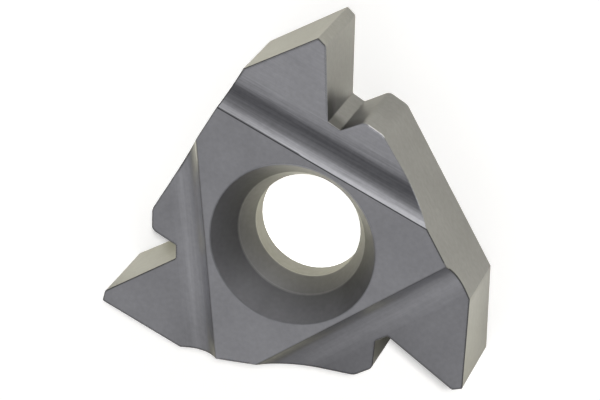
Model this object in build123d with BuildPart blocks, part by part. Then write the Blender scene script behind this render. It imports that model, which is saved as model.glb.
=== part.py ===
from build123d import *
from math import cos, radians, sin, sqrt, tan
import os

os.makedirs("parts", exist_ok=True)

# Body, millimetres. The origin is on the screw axis at the seat face, +Z runs up the axis.
inscribed_diameter = 12.70
inscribed_radius = inscribed_diameter / 2
thickness = 4.76
corner_count = 3
corner_step = 360 / corner_count

# Screw hole: a wide cone that takes the screw head, a steeper cone, the bore and a seat cone.
bore_diameter = 5.10
mouth_diameter = 7.90
head_cone_diameter = 6.12
head_cone_half_angle = 31
lead_cone_half_angle = 26
seat_cone_half_angle = 31
seat_cone_depth = 1.18

# Corners: the lines of two sides meet at a sharp corner, and lengths run down from it.
corner_y = inscribed_diameter * sin(radians(60))
flank_drop = 5.38
shoulder_drop = 4.00

# Tooth: a 60 degree point with a leaning crest, whose outer flank starts on the locating side.
tooth_angle = 60
tooth_inset = 2.34
crest_drop = 0.38
crest_lean = 13
crest_break = 0.09
crest_round = 0.20

# Gap beside the tooth and the shoulder that closes it.
shoulder_rise = 1.12
shoulder_land = 1.02
gap_floor_width = 0.67
shoulder_round = 0.35
gap_round = 0.10
heel_round = 0.60

# Chip channel: a ground rake face, a wide round root and a short straight wall up to the raised flat.
channel_offset = 4.20
channel_turn = 5.6
rake_angle = 10.4
rake_depth_at_edge = 1.02
wall_angle = 48
root_share = 0.80
cutter_margin = 1.0

# Small rounds left on the edges by honing and by the coating.
edge_hone = 0.05
rim_hone = 0.06

# Points of one tooth, seen from above with the tooth pointing along +Y.
flank_start = corner_y - flank_drop
tooth_x = -inscribed_radius + tooth_inset
half_tooth = radians(tooth_angle / 2)
point_y = flank_start + tooth_inset / tan(half_tooth)
crest_slope = tan(half_tooth) * tan(radians(crest_lean))
crest_fall = crest_drop * (1 + crest_slope) / (1 - crest_slope)
shoulder_height = corner_y - shoulder_drop
gap_floor = shoulder_height - shoulder_rise
gap_floor_start = tooth_x + (point_y - gap_floor) * tan(half_tooth)
gap_floor_end = gap_floor_start + gap_floor_width
side_turn = radians(corner_step / 2)
shoulder_end = (inscribed_radius - shoulder_height * sin(side_turn)) / cos(side_turn)

tooth_points = [
    (-inscribed_radius, flank_start),
    (tooth_x - crest_drop * tan(half_tooth), point_y - crest_drop),
    (tooth_x + crest_fall * tan(half_tooth), point_y - crest_fall),
    (gap_floor_start, gap_floor),
    (gap_floor_end, gap_floor),
    (shoulder_end - shoulder_land, shoulder_height),
    (shoulder_end, shoulder_height),
]


def turned(point, corner):
    swing = radians(-corner_step * corner)
    across = point[0] * cos(swing) - point[1] * sin(swing)
    along = point[0] * sin(swing) + point[1] * cos(swing)
    return (across, along)


outline = [turned(point, corner) for corner in range(corner_count) for point in tooth_points]


def corners_of(sketch, index):
    places = [turned(tooth_points[index], corner) for corner in range(corner_count)]
    found = []
    for across, along in places:
        found.append(sketch.vertices().sort_by_distance((across, along, 0))[0])
    return found


# Channel section: across the channel, measured outward from the edge of the raised flat.
rake = radians(rake_angle)
wall = radians(wall_angle)
root_run = rake_depth_at_edge / (tan(wall) + tan(rake))
root_radius = root_share * root_run / cos(wall) / tan((wall + rake) / 2)
body_reach = sqrt(tooth_x**2 + point_y**2) + cutter_margin
cutter_width = body_reach - channel_offset
rake_end = cutter_width * tan(rake) - rake_depth_at_edge
cutter_top = max(rake_end, 0) + cutter_margin
groove_points = [
    (0, 0),
    (root_run, root_run * tan(rake) - rake_depth_at_edge),
    (cutter_width, rake_end),
    (cutter_width, cutter_top),
    (0, cutter_top),
]

# Depths of the hole, from the raised flat down.
head_cone_depth = (mouth_diameter - head_cone_diameter) / 2 / tan(radians(head_cone_half_angle))
lead_cone_depth = (head_cone_diameter - bore_diameter) / 2 / tan(radians(lead_cone_half_angle))
seat_mouth_radius = bore_diameter / 2 + seat_cone_depth * tan(radians(seat_cone_half_angle))
hole_profile = [
    (0, 0),
    (seat_mouth_radius, 0),
    (bore_diameter / 2, seat_cone_depth),
    (bore_diameter / 2, thickness - head_cone_depth - lead_cone_depth),
    (head_cone_diameter / 2, thickness - head_cone_depth),
    (mouth_diameter / 2, thickness),
    (0, thickness),
]

with BuildPart() as insert:
    with BuildSketch() as plan:
        with BuildLine():
            Polyline(*outline, close=True)
        make_face()
        fillet(corners_of(plan, 1), radius=crest_break)
        fillet(corners_of(plan, 2), radius=crest_round)
        fillet(corners_of(plan, 3) + corners_of(plan, 4), radius=gap_round)
        fillet(corners_of(plan, 5), radius=shoulder_round)
        fillet(corners_of(plan, 6), radius=heel_round)
    extrude(amount=thickness)

    for corner in range(corner_count):
        bearing = 90 + channel_turn - corner_step * corner
        outward = Vector(cos(radians(bearing)), sin(radians(bearing)), 0)
        along = Vector(outward.Y, -outward.X, 0)
        edge_point = outward * channel_offset + Vector(0, 0, thickness)
        section = Plane(origin=edge_point, x_dir=outward, z_dir=along)
        with BuildSketch(section) as groove:
            with BuildLine():
                Polyline(*groove_points, close=True)
            make_face()
            fillet(groove.vertices().sort_by_distance(groove_points[1])[0], radius=root_radius)
        extrude(amount=body_reach, both=True, mode=Mode.SUBTRACT)

    with BuildSketch(Plane.XZ):
        with BuildLine():
            Polyline(*hole_profile, close=True)
        make_face()
    revolve(axis=Axis.Z, mode=Mode.SUBTRACT)

    upright = insert.faces().filter_by(lambda face: abs(face.normal_at().Z) < 1e-6)
    walls = upright.filter_by(lambda face: Vector(face.center().X, face.center().Y).length > bore_diameter / 2)
    rim = walls.edges().filter_by(lambda edge: edge.center().Z > thickness * 0.7)
    raised = insert.edges().filter_by_position(Axis.Z, thickness, thickness)
    step = raised.filter_by(GeomType.LINE).filter_by(lambda edge: edge.length > inscribed_radius)
    fillet(rim + step, radius=edge_hone)
    fillet(insert.edges().filter_by_position(Axis.Z, 0, 0), radius=rim_hone)
    mouth = insert.edges().filter_by_position(Axis.Z, thickness, thickness).filter_by(GeomType.CIRCLE)
    fillet(mouth.sort_by(SortBy.RADIUS)[-1], radius=rim_hone)

insert.part.label = "insert"
export_step(insert.part, "parts/insert.step")
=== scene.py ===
import math
import bpy
from mathutils import Matrix, Vector

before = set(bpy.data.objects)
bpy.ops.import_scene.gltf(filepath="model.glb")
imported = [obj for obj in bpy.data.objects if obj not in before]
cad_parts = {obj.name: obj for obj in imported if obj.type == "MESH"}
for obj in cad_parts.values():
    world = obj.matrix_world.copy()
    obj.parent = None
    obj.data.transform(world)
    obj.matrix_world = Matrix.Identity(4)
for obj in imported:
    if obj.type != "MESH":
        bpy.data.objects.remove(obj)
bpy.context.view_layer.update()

print("insert loaded from the packed frame")


# small helpers for colour and nodes

def linearFromHex(hexColour):
    parts = [int(hexColour[i:i + 2], 16) / 255 for i in (1, 3, 5)]
    return [c / 12.92 if c <= 0.04045 else ((c + 0.055) / 1.055) ** 2.4 for c in parts] + [1.0]


def addNode(tree, kind, settings=None, links=None):
    # settings holds node properties by name and socket values by "in:" and the socket's name or number
    # links holds the source of each linked input: an output socket, or a node for its first output
    node = tree.nodes.new(kind)
    for key, value in (settings or {}).items():
        if key.startswith("in:"):
            socket = key[3:]
            node.inputs[int(socket) if socket.isdigit() else socket].default_value = value
        else:
            setattr(node, key, value)
    for socket, source in (links or {}).items():
        output = source.outputs[0] if isinstance(source, bpy.types.Node) else source
        tree.links.new(output, node.inputs[int(socket) if socket.isdigit() else socket])
    return node


def newMaterial(name):
    material = bpy.data.materials.new(name)
    material.use_nodes = True
    material.node_tree.nodes.clear()
    return material, material.node_tree


# the insert: tungsten carbide, pressed, sintered, ground and then coated by vapour deposition

# lengths and places are metres, a tone is a share of the coat's colour, and a pair is the two ends
# of a fade. Tones set by place are matched to the photo.
insertLook = {
    # the coat
    "coatColour": "#909093",             # dark grey nitride coat over ground carbide
    "coatRoughness": 0.27,               # ground, so it mirrors only broad light and dark
    "sideRoughness": 0.38,               # the sides are ground coarser
    "holeRoughness": 0.50,               # as sintered, never ground
    "roughnessSpread": 0.05,             # added by the grain
    "grainSize": 0.00011,                # coat droplets, drawn coarser than real so they show
    "grainHeight": 0.5,                  # against the wheel lines
    "lineDepth": 0.000002,
    "bumpStrength": 0.25,
    "cloudScale": 450.0,                 # clouds about 2 mm wide
    "cloudTones": (0.95, 1.05),
    "patchSize": 0.00022,                # patches of thicker coat, drawn coarser than real so they show
    "patchTones": (0.95, 1.05),
    "streakTones": (0.90, 1.10),         # low and high wheel lines
    "noiseRange": (0.3, 0.7),            # holds nearly all of a noise

    # how level the surface is, from 0 on the upright sides to 1 on the raised flat
    "sideLevel": (0.35, 0.15),
    "offSideLevel": (0.10, 0.22),
    "offTopLevel": (0.972, 0.93),

    # heights above the seat
    "nearTop": (0.0044, 0.0046),
    "aboveRoot": (0.0033, 0.0035),

    # wheel lines
    "lineSpacing": 0.00009,              # drawn coarser than real so they show
    "lineStretch": 0.03,                 # their width against their length
    "rakeLines": 0.25,                   # share of their depth on the finer ground rake faces
    "sideLines": 0.25,

    # chip channels: measured across from the edge of the raised flat, and along from their middle
    "channelEdge": 0.00420,              # from the screw axis
    "channelTurn": 5.6,                  # degrees
    "edgeFade": 0.00003,
    "wallStart": (0.00003, 0.00008),
    "wallEnd": (0.0003, 0.0006),
    "rakeStart": (0.0014, 0.0020),
    "rootEnd": (0.0022, 0.0024),
    "skewed": (0.03, 0.06),              # lean along the channel, which its root and wall don't have
    "endBlend": 0.0014,
    # the first tooth's channel, the right one and the left one: lines is the strength of the wheel
    # lines, the step share takes painted shade off the honed step edge, the wall lift is painted light or
    # shade on the wall, and the end tone is painted shade on one end, as far across as endWidth
    "channels": [
        {"lines": 1.7, "stepShadeTakenOff": 0, "paintedWallLight": -0.22, "wallFade": (-0.0020, -0.0032),
         "paintedEndShade": 1.0, "endFade": (0, 0.001), "endWidth": 0.02},
        {"lines": 0.4, "stepShadeTakenOff": 0.65, "paintedWallLight": 0.36, "wallFade": (-0.0080, -0.0040),
         "paintedEndShade": 0.60, "endFade": (-0.0045, 0.0033), "endWidth": 0.02},
        {"lines": 0.4, "stepShadeTakenOff": 0.65, "paintedWallLight": 1.0, "wallFade": (-0.0110, 0.0020),
         "paintedEndShade": 0.80, "endFade": (-0.0025, -0.0052), "endWidth": 0.0014},
    ],

    # painted shade and highlights along the honed edges
    "honeWidth": 0.00016,                # drawn wider than the real 0.00005 so they show
    # painted shade: the coat's tone along the honed edges
    "paintedEdgeShading": 0.36,
    "edgeAgree": (0.95, 0.85),           # how far the rounded normal agrees with the true one
    "backTurn": (-0.03, -0.10),          # the edges that face away from the light show wider
    "backAgree": (0.9995, 0.985),
    "stepLine": (0.00005, 0.00003),      # from a channel's edge
    "stepStrip": (0.00022, 0.00018),
    "outOfHole": (0.00400, 0.00404),     # from the screw axis
    "paintedLitEdgeTone": 1.2,                  # painted light: beside the first channel, the edges to the right are lit
    "litPlace": (-0.0021, -0.0019),
    "litTurn": (0.2, 0.4),               # and so are those that face right
    "paintedGlintTone": 2.7,                    # painted glint on the first shoulder's honed edge
    "paintedGlintPlace": (0.00022, 0.00698, 0.00424),
    "paintedGlintReach": (0.0005, 0.0004),

    # painted light and shade on the side walls
    "paintedFlankShading": (1.24, 0.62),          # painted light and shade: the right tooth's outer flank darkens towards its tip
    "flankFade": (0.0024, -0.0012),
    "flankStart": (0.0080, 0.0082),
    "paintedGapShade": 0.42,                     # painted shade: the upper part of the first gap is dark round its foot
    "gapPlace": (-0.0017, 0.0061, 0.0043),
    "gapReach": (0.0009, 0.0016),

    # screw hole
    "inHole": (0.00402, 0.00398),        # from the screw axis
    "ridgeHeights": (0.00328, 0.00223),  # the edges between the first cone, the second and the bore
    "ridgeWidth": (0.00007, 0.00007 / 3),
    # painted highlight on those edges
    "paintedRidgeHighlight": 0.35,
    "coneTones": (0.58, 0.80),           # the first cone is darker towards its foot
    "coneHeights": (0.0034, 0.0046),
    "coneFoot": (0.00328, 0.00323),
    "lowerTone": 1.07,                   # below the first cone
    # painted light: the first cone is lighter on one side, and the whole hole on the side of the first tooth
    "paintedConeLight": {"way": (0.669, -0.743, 0), "spread": (0.80, 1.0), "tone": 1.42},
    "paintedToothSideLight": {"way": (-0.087, 0.996, 0), "spread": (0.5, 1.0), "tone": 1.9},
}


def insertPlaces(tree):
    # where a point lies on the insert, and which way it faces
    look = insertLook
    point = addNode(tree, "ShaderNodeTexCoord").outputs["Object"]
    normal = addNode(tree, "ShaderNodeNewGeometry").outputs["Normal"]
    spot = addNode(tree, "ShaderNodeSeparateXYZ", links={"Vector": point})
    facing = addNode(tree, "ShaderNodeSeparateXYZ", links={"Vector": normal})
    level = addNode(tree, "ShaderNodeMath", {"operation": "ABSOLUTE"}, {"0": facing.outputs["Z"]})
    flat = addNode(tree, "ShaderNodeCombineXYZ", links={"X": spot.outputs["X"], "Y": spot.outputs["Y"]})
    fromAxis = addNode(tree, "ShaderNodeVectorMath", {"operation": "LENGTH"}, {"0": flat}).outputs["Value"]
    at = {"point": point, "x": spot.outputs["X"], "y": spot.outputs["Y"], "z": spot.outputs["Z"],
          "flat": flat, "fromAxis": fromAxis, "normal": normal, "facingX": facing.outputs["X"], "level": level}

    # the parts that several finishes share: 1 on the part and 0 off it
    shared = {
        "onSide": ("level", look["sideLevel"]),
        "offSide": ("level", look["offSideLevel"]),
        "nearTop": ("z", look["nearTop"]),
        "inHole": ("fromAxis", look["inHole"]),
    }
    for part, (measure, (start, end)) in shared.items():
        at[part] = addNode(tree, "ShaderNodeMapRange", {"in:From Min": start, "in:From Max": end},
                           {"Value": at[measure]})
    return at


def channelPlace(tree, at, corner):
    # across is the distance out from the screw axis, past the same from the edge of the raised flat
    look = insertLook
    step = 360 / len(look["channels"])
    bearing = math.radians(90 + look["channelTurn"] - step * corner)  # the first tooth points along +Y
    outward = (math.cos(bearing), math.sin(bearing), 0)
    lengthways = (outward[1], -outward[0], 0)
    where = {}
    for measure, source, way in (("across", "point", outward), ("along", "point", lengthways),
                                 ("skew", "normal", lengthways)):
        where[measure] = addNode(tree, "ShaderNodeVectorMath", {"operation": "DOT_PRODUCT", "in:1": way},
                                 {"0": at[source]}).outputs["Value"]
    where["past"] = addNode(tree, "ShaderNodeMath", {"operation": "SUBTRACT", "in:1": look["channelEdge"]},
                            {"0": where["across"]})
    where["beyond"] = addNode(tree, "ShaderNodeMapRange", {"in:From Max": look["edgeFade"]},
                              {"Value": where["past"]})
    return where


def wheelLines(tree, where, channel):
    # height of the lines along the channel, lower on its finer ground rake face
    look = insertLook
    slow = addNode(tree, "ShaderNodeMath", {"operation": "MULTIPLY", "in:1": look["lineStretch"]},
                   {"0": where["along"]})
    space = addNode(tree, "ShaderNodeCombineXYZ", links={"X": where["across"], "Y": slow})
    lines = addNode(tree, "ShaderNodeTexNoise", {"in:Scale": 1 / look["lineSpacing"], "in:Detail": 2.0},
                    {"Vector": space})
    height = addNode(tree, "ShaderNodeMath", {"operation": "SUBTRACT", "in:1": 0.5}, {"0": lines})
    start, end = look["rakeStart"]
    strength = addNode(tree, "ShaderNodeMapRange",
                       {"in:From Min": start, "in:From Max": end, "in:To Min": channel["lines"],
                        "in:To Max": channel["lines"] * look["rakeLines"]},
                       {"Value": where["past"]})
    for share in (strength, where["beyond"]):
        height = addNode(tree, "ShaderNodeMath", {"operation": "MULTIPLY"}, {"0": height, "1": share})
    return height


def paintedWallLight(tree, where, channel):
    # painted light or shade that one end of the short wall below the raised flat gains or loses
    look = insertLook
    started, ended = [
        addNode(tree, "ShaderNodeMapRange", {"in:From Min": start, "in:From Max": end},
                {"Value": where["past"]})
        for start, end in (look["wallStart"], look["wallEnd"])
    ]
    onWall = addNode(tree, "ShaderNodeMath", {"operation": "SUBTRACT"}, {"0": started, "1": ended})
    start, end = channel["wallFade"]
    lift = addNode(tree, "ShaderNodeMapRange",
                   {"in:From Min": start, "in:From Max": end, "in:To Max": channel["paintedWallLight"]},
                   {"Value": where["along"]})
    return addNode(tree, "ShaderNodeMath", {"operation": "MULTIPLY"}, {"0": onWall, "1": lift})


def paintedEndShade(tree, where, channel):
    # painted shade: the whole channel is darker towards one end, as far across as endWidth
    start, end = channel["endFade"]
    tone = addNode(tree, "ShaderNodeMapRange",
                   {"in:From Min": start, "in:From Max": end,
                    "in:To Min": 1.0, "in:To Max": channel["paintedEndShade"]},
                   {"Value": where["along"]})
    width = channel["endWidth"]
    within = addNode(tree, "ShaderNodeMapRange",
                     {"in:From Min": width, "in:From Max": width + insertLook["endBlend"],
                      "in:To Min": 1.0, "in:To Max": 0.0},
                     {"Value": where["past"]})
    onEnd = addNode(tree, "ShaderNodeMath", {"operation": "MULTIPLY"}, {"0": where["beyond"], "1": within})
    return addNode(tree, "ShaderNodeMix", {"data_type": "FLOAT", "in:2": 1.0}, {"Factor": onEnd, "3": tone})


def offRoot(tree, where):
    # 0 on the channel's root and wall, which lean only across it, and 1 elsewhere
    look = insertLook
    lean = addNode(tree, "ShaderNodeMath", {"operation": "ABSOLUTE"}, {"0": where["skew"]})
    skewed = addNode(tree, "ShaderNodeMapRange",
                     {"in:From Min": look["skewed"][0], "in:From Max": look["skewed"][1]}, {"Value": lean})
    pastRoot = addNode(tree, "ShaderNodeMapRange",
                       {"in:From Min": look["rootEnd"][0], "in:From Max": look["rootEnd"][1]},
                       {"Value": where["past"]})
    inside = addNode(tree, "ShaderNodeMath", {"operation": "SUBTRACT"}, {"0": where["beyond"], "1": pastRoot})
    outside = addNode(tree, "ShaderNodeMath", {"operation": "SUBTRACT", "in:0": 1.0}, {"1": inside})
    return addNode(tree, "ShaderNodeMath", {"operation": "MAXIMUM"}, {"0": outside, "1": skewed})


def stepEdge(tree, where, channel):
    # where painted shade goes along the crisp edge between the raised flat and the channel, the strip beside
    # it, and how much of that painted shade is taken off
    look = insertLook
    fromEdge = addNode(tree, "ShaderNodeMath", {"operation": "ABSOLUTE"}, {"0": where["past"]})
    line, strip = [
        addNode(tree, "ShaderNodeMapRange", {"in:From Min": start, "in:From Max": end}, {"Value": fromEdge})
        for start, end in (look["stepLine"], look["stepStrip"])
    ]
    soft = addNode(tree, "ShaderNodeMath", {"operation": "MULTIPLY", "in:1": channel["stepShadeTakenOff"]},
                   {"0": strip})
    return line, strip, soft


def allChannels(tree, at):
    # what the three channels give, each joined into one value by the operation named for it
    joins = {"lines": "ADD", "paintedWallLight": "ADD", "paintedEndShade": "MULTIPLY", "offRoot": "MINIMUM",
             "stepLine": "MAXIMUM", "stepStrip": "MAXIMUM", "stepShadeTakenOff": "MAXIMUM"}
    joined = {}
    for corner, channel in enumerate(insertLook["channels"]):
        where = channelPlace(tree, at, corner)
        stepLine, stepStrip, stepShadeTakenOff = stepEdge(tree, where, channel)
        own = {
            "lines": wheelLines(tree, where, channel),
            "paintedWallLight": paintedWallLight(tree, where, channel),
            "paintedEndShade": paintedEndShade(tree, where, channel),
            "offRoot": offRoot(tree, where),
            "stepLine": stepLine,
            "stepStrip": stepStrip,
            "stepShadeTakenOff": stepShadeTakenOff,
        }
        if corner == 0:
            joined = {**own, "beyondFirst": where["beyond"]}
        else:
            for part, operation in joins.items():
                joined[part] = addNode(tree, "ShaderNodeMath", {"operation": operation},
                                       {"0": joined[part], "1": own[part]})
    return joined


def groundLines(tree, at, channels):
    # wheel lines run along the channels on top, and level round the sides
    look = insertLook
    stretch = (look["lineStretch"], look["lineStretch"], 1)
    space = addNode(tree, "ShaderNodeVectorMath", {"operation": "MULTIPLY", "in:1": stretch},
                    {"0": at["point"]})
    levelLines = addNode(tree, "ShaderNodeTexNoise", {"in:Scale": 1 / look["lineSpacing"], "in:Detail": 2.0},
                         {"Vector": space})
    half = look["sideLines"] / 2
    sideLines = addNode(tree, "ShaderNodeMapRange", {"in:To Min": 0.5 - half, "in:To Max": 0.5 + half},
                        {"Value": levelLines})
    topLines = addNode(tree, "ShaderNodeMath", {"operation": "ADD", "in:1": 0.5}, {"0": channels["lines"]})
    return addNode(tree, "ShaderNodeMix", {"data_type": "FLOAT"},
                   {"Factor": at["onSide"], "2": topLines, "3": sideLines})


def onHone(tree, at, channels):
    # where the painted edge shade goes, 1 on the honed edges: near one, the normal of a wider round leaves the
    # true normal
    look = insertLook
    wideRound = addNode(tree, "ShaderNodeBevel", {"samples": 6, "in:Radius": look["honeWidth"]})
    agree = addNode(tree, "ShaderNodeVectorMath", {"operation": "DOT_PRODUCT"},
                    {"0": wideRound, "1": at["normal"]}).outputs["Value"]
    turned = addNode(tree, "ShaderNodeSeparateXYZ", links={"Vector": wideRound}).outputs["Y"]
    nearEdge, nearBackEdge, backTurned, offTop, outOfHole = [
        addNode(tree, "ShaderNodeMapRange", {"in:From Min": start, "in:From Max": end}, {"Value": measure})
        for measure, (start, end) in (
            (agree, look["edgeAgree"]), (agree, look["backAgree"]), (turned, look["backTurn"]),
            (at["level"], look["offTopLevel"]), (at["fromAxis"], look["outOfHole"]))
    ]
    kept = {}
    for part in ("stepStrip", "stepShadeTakenOff"):
        onStep = addNode(tree, "ShaderNodeMath", {"operation": "MULTIPLY"},
                         {"0": channels[part], "1": at["nearTop"]})
        kept[part] = addNode(tree, "ShaderNodeMath", {"operation": "SUBTRACT", "in:0": 1.0}, {"1": onStep})

    # each kind of edge is the product of what it needs, and the strongest of them counts
    kinds = [
        (nearBackEdge, backTurned, kept["stepStrip"]),             # the far edges, away from the steps
        (at["offSide"], offTop, channels["offRoot"]),              # the honed round itself
        (channels["stepLine"], at["nearTop"], at["offSide"]),      # the steps down to the channels
    ]
    for first, *others in kinds:
        edge = first
        for other in others:
            edge = addNode(tree, "ShaderNodeMath", {"operation": "MULTIPLY"}, {"0": edge, "1": other})
        nearEdge = addNode(tree, "ShaderNodeMath", {"operation": "MAXIMUM"}, {"0": nearEdge, "1": edge})
    for share in (outOfHole, kept["stepShadeTakenOff"]):
        nearEdge = addNode(tree, "ShaderNodeMath", {"operation": "MULTIPLY"}, {"0": nearEdge, "1": share})
    return nearEdge


def paintedEdgeShading(tree, at, channels):
    # painted shade along the honed edges, but painted light on the first tooth's right side, with one painted
    # glint
    look = insertLook
    litPlace, litFlank = [
        addNode(tree, "ShaderNodeMapRange", {"in:From Min": start, "in:From Max": end}, {"Value": measure})
        for measure, (start, end) in ((at["x"], look["litPlace"]), (at["facingX"], look["litTurn"]))
    ]
    lit = addNode(tree, "ShaderNodeMath", {"operation": "MAXIMUM"}, {"0": litPlace, "1": litFlank})
    lit = addNode(tree, "ShaderNodeMath", {"operation": "MULTIPLY"}, {"0": lit, "1": channels["beyondFirst"]})
    fromGlint = addNode(tree, "ShaderNodeVectorMath", {"operation": "DISTANCE", "in:1": look["paintedGlintPlace"]},
                        {"0": at["point"]})
    start, end = look["paintedGlintReach"]
    litTone = addNode(tree, "ShaderNodeMapRange",
                      {"in:From Min": start, "in:From Max": end,
                       "in:To Min": look["paintedLitEdgeTone"], "in:To Max": look["paintedGlintTone"]},
                      {"Value": fromGlint.outputs["Value"]})
    tone = addNode(tree, "ShaderNodeMapRange", {"in:To Min": look["paintedEdgeShading"]},
                   {"Value": lit, "To Max": litTone})
    return addNode(tree, "ShaderNodeMix", {"data_type": "FLOAT", "in:2": 1.0},
                   {"Factor": onHone(tree, at, channels), "3": tone})


def paintedWallShading(tree, at, channels):
    # painted light and shade on the channels' walls, off the sides and above the roots
    start, end = insertLook["aboveRoot"]
    aboveRoot = addNode(tree, "ShaderNodeMapRange", {"in:From Min": start, "in:From Max": end},
                        {"Value": at["z"]})
    lift = addNode(tree, "ShaderNodeMath", {"operation": "MULTIPLY"},
                   {"0": channels["paintedWallLight"], "1": aboveRoot})
    return addNode(tree, "ShaderNodeMath", {"operation": "MULTIPLY_ADD", "in:2": 1.0},
                   {"0": lift, "1": at["offSide"]})


def paintedFaceShading(tree, at, channels):
    # painted shade on the channels' darker ends on top, and on the sides painted light and shade on the right
    # tooth's flank and painted shade in the first gap
    look = insertLook
    start, end = look["flankFade"]
    light, dark = look["paintedFlankShading"]
    fade = addNode(tree, "ShaderNodeMapRange",
                   {"in:From Min": start, "in:From Max": end, "in:To Min": light, "in:To Max": dark},
                   {"Value": at["y"]})
    start, end = look["flankStart"]
    onFlank = addNode(tree, "ShaderNodeMapRange", {"in:From Min": start, "in:From Max": end},
                      {"Value": at["x"]})
    flank = addNode(tree, "ShaderNodeMix", {"data_type": "FLOAT", "in:2": 1.0}, {"Factor": onFlank, "3": fade})
    fromGap = addNode(tree, "ShaderNodeVectorMath", {"operation": "DISTANCE", "in:1": look["gapPlace"]},
                      {"0": at["point"]})
    start, end = look["gapReach"]
    gap = addNode(tree, "ShaderNodeMapRange",
                  {"in:From Min": start, "in:From Max": end, "in:To Min": look["paintedGapShade"]},
                  {"Value": fromGap.outputs["Value"]})
    sides = addNode(tree, "ShaderNodeMath", {"operation": "MULTIPLY"}, {"0": flank, "1": gap})
    return addNode(tree, "ShaderNodeMix", {"data_type": "FLOAT"},
                   {"Factor": at["onSide"], "2": channels["paintedEndShade"], "3": sides})


def paintedHoleSideLight(tree, outward, sector):
    # painted light that grows towards one side of the hole
    toward = addNode(tree, "ShaderNodeVectorMath", {"operation": "DOT_PRODUCT", "in:1": sector["way"]},
                     {"0": outward})
    start, end = sector["spread"]
    return addNode(tree, "ShaderNodeMapRange",
                   {"interpolation_type": "SMOOTHSTEP", "in:From Min": start, "in:From Max": end,
                    "in:To Min": 1.0, "in:To Max": sector["tone"]},
                   {"Value": toward.outputs["Value"]})


def holeTone(tree, at):
    # a first cone darker towards its foot, lighter below it, with painted highlights on the ridges between and
    # painted light on one side
    look = insertLook
    outward = addNode(tree, "ShaderNodeVectorMath", {"operation": "NORMALIZE"}, {"0": at["flat"]})
    start, end = look["coneHeights"]
    foot, mouth = look["coneTones"]
    cone = addNode(tree, "ShaderNodeMapRange",
                   {"in:From Min": start, "in:From Max": end, "in:To Min": foot, "in:To Max": mouth},
                   {"Value": at["z"]})
    cone = addNode(tree, "ShaderNodeMath", {"operation": "MULTIPLY"},
                   {"0": cone, "1": paintedHoleSideLight(tree, outward, look["paintedConeLight"])})
    start, end = look["coneFoot"]
    tone = addNode(tree, "ShaderNodeMapRange",
                   {"in:From Min": start, "in:From Max": end, "in:To Max": look["lowerTone"]},
                   {"Value": at["z"], "To Min": cone})
    start, end = look["ridgeWidth"]
    for height in look["ridgeHeights"]:
        above = addNode(tree, "ShaderNodeMath", {"operation": "SUBTRACT", "in:1": height}, {"0": at["z"]})
        away = addNode(tree, "ShaderNodeMath", {"operation": "ABSOLUTE"}, {"0": above})
        ridge = addNode(tree, "ShaderNodeMapRange",
                        {"in:From Min": start, "in:From Max": end, "in:To Max": look["paintedRidgeHighlight"]},
                        {"Value": away})
        tone = addNode(tree, "ShaderNodeMath", {"operation": "ADD"}, {"0": tone, "1": ridge})
    tone = addNode(tree, "ShaderNodeMath", {"operation": "MULTIPLY"},
                   {"0": tone, "1": paintedHoleSideLight(tree, outward, look["paintedToothSideLight"])})
    return addNode(tree, "ShaderNodeMix", {"data_type": "FLOAT", "in:2": 1.0},
                   {"Factor": at["inHole"], "3": tone})


def coatRoughness(tree, at, grain):
    # satin on ground faces, duller on the sides and in the hole
    look = insertLook
    ground = addNode(tree, "ShaderNodeMix",
                     {"data_type": "FLOAT", "in:2": look["coatRoughness"], "in:3": look["sideRoughness"]},
                     {"Factor": at["onSide"]})
    whole = addNode(tree, "ShaderNodeMix", {"data_type": "FLOAT", "in:3": look["holeRoughness"]},
                    {"Factor": at["inHole"], "2": ground})
    return addNode(tree, "ShaderNodeMath", {"operation": "MULTIPLY_ADD", "in:1": look["roughnessSpread"]},
                   {"0": grain, "2": whole})


def coatedCarbide():
    # ground and vapour-coated tungsten carbide: a satin grey metal with fine wheel lines and a faint grain
    material, tree = newMaterial("ground and coated tungsten carbide")
    look = insertLook
    at = insertPlaces(tree)
    channels = allChannels(tree, at)
    lines = groundLines(tree, at, channels)
    grain, clouds, patches = [
        addNode(tree, "ShaderNodeTexNoise", {"in:Scale": scale, "in:Detail": detail}, {"Vector": at["point"]})
        for scale, detail in (
            (1 / look["grainSize"], 3.0), (look["cloudScale"], 4.0), (1 / look["patchSize"], 3.0))
    ]
    height = addNode(tree, "ShaderNodeMath", {"operation": "MULTIPLY_ADD", "in:1": look["grainHeight"]},
                     {"0": grain, "2": lines})
    bump = addNode(tree, "ShaderNodeBump",
                   {"in:Strength": look["bumpStrength"], "in:Distance": look["lineDepth"]}, {"Height": height})

    # the coat's colour clouds and streaks a little, and each part of the insert has its own tone, mostly
    # painted light and shade
    start, end = look["noiseRange"]
    tones = [
        addNode(tree, "ShaderNodeMapRange",
                {"in:From Min": start, "in:From Max": end, "in:To Min": low, "in:To Max": high},
                {"Value": pattern})
        for pattern, (low, high) in (
            (clouds, look["cloudTones"]), (lines, look["streakTones"]), (patches, look["patchTones"]))
    ]
    tones += [paintedEdgeShading(tree, at, channels), paintedWallShading(tree, at, channels), paintedFaceShading(tree, at, channels),
              holeTone(tree, at)]
    tone = tones[0]
    for other in tones[1:]:
        tone = addNode(tree, "ShaderNodeMath", {"operation": "MULTIPLY"}, {"0": tone, "1": other})
    coat = linearFromHex(look["coatColour"])
    colour = addNode(tree, "ShaderNodeVectorMath", {"operation": "SCALE", "in:0": coat[:3]}, {"Scale": tone})

    metal = addNode(tree, "ShaderNodeBsdfPrincipled", {"in:Metallic": 1.0},
                    {"Base Color": colour, "Roughness": coatRoughness(tree, at, grain), "Normal": bump})
    addNode(tree, "ShaderNodeOutputMaterial", links={"Surface": metal})
    return material


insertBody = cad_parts["insert"]
insertBody.data.materials.clear()
insertBody.data.materials.append(coatedCarbide())
print("insert dressed in coated carbide")


# the table: plain pale paper

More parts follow.
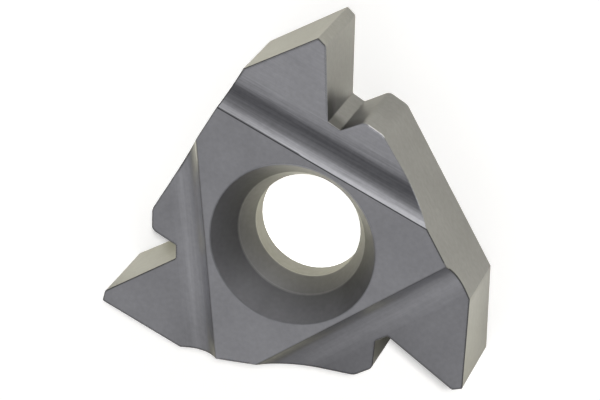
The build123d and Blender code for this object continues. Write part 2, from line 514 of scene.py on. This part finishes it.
tableLook = {
    "paper": "#F4F3F0",              # matt white paper, as the camera sees it
    "paperInMetal": "#F3F1E8",       # the same paper as the metal mirrors it
    "poolColour": "#F4EFC6",         # painted warm glow on the paper round the insert
    "halfWidth": 0.6,                # metres
    "drop": 0.00002,                 # how far the paper lies below the seat face
    "cameraWhite": 0.255,            # white added for the camera, so that the open paper is pure white
    "underHole": 0.75,               # more of it below the screw hole, painted light over the insert's shade there
    "holeRim": (0.0040, 0.0032),
    "holeGlow": 0.8,                 # painted warm glow that the bore mirrors
    "poolCentre": (0.003, 0.004, 0),
    "poolReach": (0.006, 0.012),
    "poolGlow": (0.25, 0.56),        # dimmer close to the sides and brighter round the teeth
    "poolEnd": (0.016, 0.0215),      # past this the paper is out of the light
    "farShare": 0.32,
    "gapShades": [                   # painted shade on the paper beside two teeth
        {"centre": (0.0073, -0.0032, 0), "reach": 0.0028, "share": 0.15},
        {"centre": (-0.0012, 0.0076, 0), "reach": 0.0021, "share": 0.93},
    ],
    "gapCore": 0.45,                 # the inner part of the reach is fully shaded
}


def paperLight(tree, point):
    # the white that the camera adds, and the painted warm glow and painted shade that the metal mirrors
    look = tableLook
    fromPool = addNode(tree, "ShaderNodeVectorMath", {"operation": "DISTANCE", "in:1": look["poolCentre"]},
                       {"0": point}).outputs["Value"]
    fromAxis = addNode(tree, "ShaderNodeVectorMath", {"operation": "LENGTH"}, {"0": point}).outputs["Value"]
    below = addNode(tree, "ShaderNodeMapRange",
                    {"in:From Min": look["holeRim"][0], "in:From Max": look["holeRim"][1]},
                    {"Value": fromAxis})
    white = addNode(tree, "ShaderNodeMath",
                    {"operation": "MULTIPLY_ADD", "in:1": look["underHole"], "in:2": look["cameraWhite"]},
                    {"0": below})
    pool = addNode(tree, "ShaderNodeMapRange",
                   {"in:From Min": look["poolReach"][0], "in:From Max": look["poolReach"][1],
                    "in:To Min": look["poolGlow"][0], "in:To Max": look["poolGlow"][1]},
                   {"Value": fromPool})
    glow = addNode(tree, "ShaderNodeMix", {"data_type": "FLOAT", "in:3": look["holeGlow"]},
                   {"Factor": below, "2": pool})
    shade = addNode(tree, "ShaderNodeMapRange",
                    {"in:From Min": look["poolEnd"][0], "in:From Max": look["poolEnd"][1],
                     "in:To Min": 1.0, "in:To Max": look["farShare"]},
                    {"Value": fromPool})
    for gap in look["gapShades"]:
        fromGap = addNode(tree, "ShaderNodeVectorMath", {"operation": "DISTANCE", "in:1": gap["centre"]},
                          {"0": point})
        gapShade = addNode(tree, "ShaderNodeMapRange",
                           {"in:From Min": gap["reach"] * look["gapCore"], "in:From Max": gap["reach"],
                            "in:To Min": gap["share"]},
                           {"Value": fromGap.outputs["Value"]})
        shade = addNode(tree, "ShaderNodeMath", {"operation": "MULTIPLY"}, {"0": shade, "1": gapShade})
    return white, glow, shade


def paperTable():
    # matt paper: flat white to the camera with a soft shadow on it, and warm where the metal mirrors it
    material, tree = newMaterial("matt white paper")
    look = tableLook
    ray = addNode(tree, "ShaderNodeLightPath")
    point = addNode(tree, "ShaderNodeTexCoord").outputs["Object"]
    white, glow, shade = paperLight(tree, point)

    paper = addNode(tree, "ShaderNodeBsdfDiffuse", {"in:Color": linearFromHex(look["paper"])})
    whitened = addNode(tree, "ShaderNodeEmission", {"in:Color": (1, 1, 1, 1)}, {"Strength": white})
    toCamera = addNode(tree, "ShaderNodeAddShader", links={"0": paper, "1": whitened})

    paperTone, poolTone = [
        addNode(tree, "ShaderNodeVectorMath", {"operation": "SCALE", "in:0": linearFromHex(look[part])[:3]},
                {"Scale": shade})
        for part in ("paperInMetal", "poolColour")
    ]
    warmPaper = addNode(tree, "ShaderNodeBsdfDiffuse", links={"Color": paperTone})
    warmPool = addNode(tree, "ShaderNodeEmission", links={"Color": poolTone, "Strength": glow})
    toMetal = addNode(tree, "ShaderNodeAddShader", links={"0": warmPaper, "1": warmPool})

    mirrored = addNode(tree, "ShaderNodeMath", {"operation": "MAXIMUM"},
                       {"0": ray.outputs["Is Glossy Ray"], "1": ray.outputs["Is Transmission Ray"]})
    direct = addNode(tree, "ShaderNodeMixShader",
                     links={"0": ray.outputs["Is Camera Ray"], "1": paper, "2": toCamera})
    whole = addNode(tree, "ShaderNodeMixShader", links={"0": mirrored, "1": direct, "2": toMetal})
    addNode(tree, "ShaderNodeOutputMaterial", links={"Surface": whole})
    return material


half = tableLook["halfWidth"]
tableMesh = bpy.data.meshes.new("paper table")
corners = [(-half, -half, 0), (half, -half, 0), (half, half, 0), (-half, half, 0)]
tableMesh.from_pydata(corners, [], [(0, 1, 2, 3)])
table = bpy.data.objects.new("paper table", tableMesh)
bpy.context.scene.collection.objects.link(table)
table.location.z = -tableLook["drop"]
tableMesh.materials.append(paperTable())
print("paper table laid")


# light: a softbox on the camera's side, pale panels behind, a board at each side, and a dim room

lightSetup = {
    "room": "#7A7A7D",
    "aim": (0, 0, 0.002),
    # azimuth and height are degrees, lengths metres, and a glow of 1 is white
    "boxes": [
        {"name": "key softbox", "azimuth": 87, "height": 20, "distance": 0.40,
         "wide": 0.34, "high": 0.125, "glow": 2.05, "inMetal": True, "onPaper": True},
        {"name": "softbox rim", "azimuth": 87, "height": 34, "distance": 0.40,
         "wide": 0.34, "high": 0.07, "glow": 0.6, "inMetal": True, "onPaper": True},
        {"name": "low back panel", "azimuth": -88, "height": 27, "distance": 0.42,
         "wide": 0.74, "high": 0.35, "glow": 0.575, "inMetal": True, "onPaper": True},
        {"name": "high back panel", "azimuth": -82, "height": 63, "distance": 0.42,
         "wide": 0.46, "high": 0.27, "glow": 0.53, "inMetal": True, "onPaper": True},
        {"name": "left side board", "azimuth": 17, "height": 38, "distance": 0.42,
         "wide": 0.74, "high": 0.44, "glow": 0.5, "inMetal": True, "onPaper": False},
        {"name": "right side board", "azimuth": 163, "height": 38, "distance": 0.42,
         "wide": 0.74, "high": 0.44, "glow": 0.5, "inMetal": True, "onPaper": False},
        {"name": "table lamp", "azimuth": 87, "height": 59, "distance": 0.50,
         "wide": 0.035, "high": 0.035, "glow": 380, "inMetal": False, "onPaper": True},
    ],
}

for box in lightSetup["boxes"]:
    lamp = bpy.data.lights.new(box["name"], "AREA")
    lamp.shape = "RECTANGLE"
    lamp.size = box["wide"]
    lamp.size_y = box["high"]
    lamp.energy = box["glow"] * math.pi * box["wide"] * box["high"]
    softbox = bpy.data.objects.new(box["name"], lamp)
    azimuth, tilt = math.radians(box["azimuth"]), math.radians(box["height"])
    toBox = Vector((math.cos(tilt) * math.cos(azimuth), math.cos(tilt) * math.sin(azimuth), math.sin(tilt)))
    softbox.location = box["distance"] * toBox
    softbox.rotation_euler = (Vector(lightSetup["aim"]) - softbox.location).to_track_quat("-Z", "Y").to_euler()
    softbox.visible_glossy = box["inMetal"]
    softbox.visible_diffuse = box["onPaper"]
    bpy.context.scene.collection.objects.link(softbox)

world = bpy.data.worlds.new("dim room")
bpy.context.scene.world = world
world.use_nodes = True
worldTree = world.node_tree
worldTree.nodes.clear()
rayKind = addNode(worldTree, "ShaderNodeLightPath")
room = addNode(worldTree, "ShaderNodeBackground",
               {"in:Color": linearFromHex(lightSetup["room"]), "in:Strength": 1.0})
backdrop = addNode(worldTree, "ShaderNodeBackground", {"in:Color": (1, 1, 1, 1), "in:Strength": 1.0})
shown = addNode(worldTree, "ShaderNodeMixShader",
                links={"0": rayKind.outputs["Is Camera Ray"], "1": room, "2": backdrop})
addNode(worldTree, "ShaderNodeOutputWorld", links={"Surface": shown})
print("softboxes hung")


# the camera, at the photograph's angle: long lens, looking down on the insert, rolled

cameraSetup = {
    "place": (0.00378044, 0.06070795, 0.1162885),
    "right": (0.81575182, 0.49749621, -0.29503643),
    "up": (-0.57722808, 0.73270508, -0.36048719),
    "lens": 166.445,                 # millimetres, as the sensor
    "sensor": 36,
    "clip": (0.005, 10),
}

cameraData = bpy.data.cameras.new("camera")
cameraData.lens = cameraSetup["lens"]
cameraData.sensor_width = cameraSetup["sensor"]
cameraData.clip_start, cameraData.clip_end = cameraSetup["clip"]
camera = bpy.data.objects.new("camera", cameraData)
bpy.context.scene.collection.objects.link(camera)
rightAxis, upAxis = Vector(cameraSetup["right"]), Vector(cameraSetup["up"])
backAxis = rightAxis.cross(upAxis)
turn = Matrix((rightAxis, upAxis, backAxis)).transposed()
camera.matrix_world = Matrix.Translation(cameraSetup["place"]) @ turn.to_4x4()
bpy.context.scene.camera = camera
bpy.context.scene.view_settings.view_transform = "Standard"
print("camera set")
